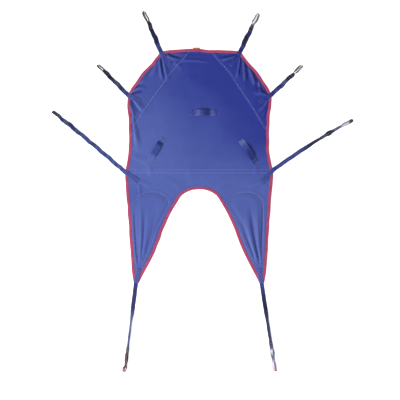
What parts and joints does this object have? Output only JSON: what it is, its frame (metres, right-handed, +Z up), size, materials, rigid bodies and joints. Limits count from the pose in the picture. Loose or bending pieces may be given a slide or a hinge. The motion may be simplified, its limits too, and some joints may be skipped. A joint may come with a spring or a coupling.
{
  "type": "patient lifting sling",
  "caption": "Full-body divided-leg patient lifting sling laid flat, with bound edges, carer handles, leg pads and webbing straps ending in sewn loops.",
  "frame": {"origin": "centre of the footprint of the spread sling, straps included, on the surface it lies on", "axes": "+Y towards the head end, +X towards the side that is on the right when seen from above with the head end away, +Z up out of the handle side"},
  "size_m": [1.8632, 2.2272, 0.0253],
  "materials": {
    "polyester_fabric": "woven mid-blue polyester with a soft sheen",
    "edge_binding": "folded crimson binding tape, matt, with a stitch line",
    "blue_webbing": "navy-blue herringbone webbing",
    "leg_pad": "quilted foam pad in the same blue polyester",
    "size_tab": "plain folded orange tape, no print",
    "black_loop_webbing": "black webbing",
    "green_loop_webbing": "pale green webbing",
    "grey_loop_webbing": "grey webbing",
    "lilac_loop_webbing": "pale lilac webbing",
    "pink_loop_webbing": "dusty pink webbing"
  },
  "bodies": {
    "back": {"back_panel": "polyester_fabric", "left_shoulder_gusset": "polyester_fabric", "right_shoulder_gusset": "polyester_fabric", "left_side_binding": "edge_binding", "right_side_binding": "edge_binding", "centre_handle": "blue_webbing", "left_handle": "blue_webbing", "right_handle": "blue_webbing", "left_shoulder_strap_tail": "blue_webbing", "right_shoulder_strap_tail": "blue_webbing"},
    "head": {"head_panel": "polyester_fabric", "left_head_gusset": "polyester_fabric", "right_head_gusset": "polyester_fabric", "left_neck_binding": "edge_binding", "head_binding": "edge_binding", "right_neck_binding": "edge_binding", "size_tab": "size_tab", "left_head_strap_tail": "blue_webbing", "right_head_strap_tail": "blue_webbing"},
    "seat": {"seat_panel": "polyester_fabric", "crotch_binding": "edge_binding", "left_hip_binding": "edge_binding", "right_hip_binding": "edge_binding", "hip_webbing": "blue_webbing", "left_hip_strap_tail": "blue_webbing", "right_hip_strap_tail": "blue_webbing"},
    "left_leg": {"left_leg_panel": "polyester_fabric", "left_leg_outer_binding": "edge_binding", "left_leg_inner_binding": "edge_binding", "left_leg_pad": "leg_pad", "left_leg_strap_tail": "blue_webbing"},
    "right_leg": {"right_leg_panel": "polyester_fabric", "right_leg_outer_binding": "edge_binding", "right_leg_inner_binding": "edge_binding", "right_leg_pad": "leg_pad", "right_leg_strap_tail": "blue_webbing"},
    "left_head_strap": {"left_head_strap": "blue_webbing", "left_head_loop_back": "black_loop_webbing", "left_head_loop_face": "green_loop_webbing"},
    "right_head_strap": {"right_head_strap": "blue_webbing", "right_head_loop_back": "black_loop_webbing", "right_head_loop_face": "grey_loop_webbing"},
    "left_shoulder_strap": {"left_shoulder_strap": "blue_webbing", "left_shoulder_loop_back": "black_loop_webbing", "left_shoulder_loop_face": "green_loop_webbing"},
    "right_shoulder_strap": {"right_shoulder_strap": "blue_webbing", "right_shoulder_loop_back": "black_loop_webbing", "right_shoulder_loop_face": "lilac_loop_webbing"},
    "left_hip_strap": {"left_hip_strap": "blue_webbing", "left_hip_loop_back": "black_loop_webbing", "left_hip_loop_face": "grey_loop_webbing"},
    "right_hip_strap": {"right_hip_strap": "blue_webbing", "right_hip_loop_back": "black_loop_webbing", "right_hip_loop_face": "lilac_loop_webbing"},
    "left_leg_strap": {"left_leg_strap": "blue_webbing", "left_leg_loop_back": "black_loop_webbing", "left_leg_loop_face": "pink_loop_webbing"},
    "right_leg_strap": {"right_leg_strap": "blue_webbing", "right_leg_loop_back": "black_loop_webbing", "right_leg_loop_face": "pink_loop_webbing"}
  },
  "joints": [
    {"name": "head_fold", "type": "hinge", "parent": "back", "child": "head", "pos_m": [-0.0186, 0.63473, 0.0044], "axis": [1, 0, 0], "range_deg": [-60, 60]},
    {"name": "hip_fold", "type": "hinge", "parent": "back", "child": "seat", "pos_m": [-0.0186, 0.15773, 0.0044], "axis": [-1, 0, 0], "range_deg": [-60, 75]},
    {"name": "left_leg_fold", "type": "hinge", "parent": "seat", "child": "left_leg", "pos_m": [-0.3086, 0.00073, 0.0044], "axis": [-1, 0, 0], "range_deg": [-60, 60]},
    {"name": "right_leg_fold", "type": "hinge", "parent": "seat", "child": "right_leg", "pos_m": [0.2714, 0.00073, 0.0044], "axis": [-1, 0, 0], "range_deg": [-60, 60]},
    {"name": "left_head_strap_swing", "type": "hinge", "parent": "head", "child": "left_head_strap", "pos_m": [-0.25733, 0.87118, 0.00775], "axis": [0.9209, 0.3899, 0], "range_deg": [-75, 75]},
    {"name": "right_head_strap_swing", "type": "hinge", "parent": "head", "child": "right_head_strap", "pos_m": [0.23841, 0.87105, 0.00775], "axis": [0.9027, -0.4302, 0], "range_deg": [-75, 75]},
    {"name": "left_shoulder_strap_swing", "type": "hinge", "parent": "back", "child": "left_shoulder_strap", "pos_m": [-0.46496, 0.60409, 0.00775], "axis": [0.7071, 0.7071, 0], "range_deg": [-75, 75]},
    {"name": "right_shoulder_strap_swing", "type": "hinge", "parent": "back", "child": "right_shoulder_strap", "pos_m": [0.43497, 0.60389, 0.00775], "axis": [0.6839, -0.7295, 0], "range_deg": [-75, 75]},
    {"name": "left_hip_strap_swing", "type": "hinge", "parent": "seat", "child": "left_hip_strap", "pos_m": [-0.48528, 0.12714, 0.00775], "axis": [0.6405, 0.7679, 0], "range_deg": [-75, 75]},
    {"name": "right_hip_strap_swing", "type": "hinge", "parent": "seat", "child": "right_hip_strap", "pos_m": [0.44885, 0.13808, 0.00775], "axis": [0.5346, -0.8451, 0], "range_deg": [-75, 75]},
    {"name": "left_leg_strap_swing", "type": "hinge", "parent": "left_leg", "child": "left_leg_strap", "pos_m": [-0.41022, -0.57323, 0.00775], "axis": [-0.9923, 0.1238, 0], "range_deg": [-75, 75]},
    {"name": "right_leg_strap_swing", "type": "hinge", "parent": "right_leg", "child": "right_leg_strap", "pos_m": [0.37015, -0.57321, 0.00775], "axis": [-0.9886, -0.1506, 0], "range_deg": [-75, 75]}
  ]
}
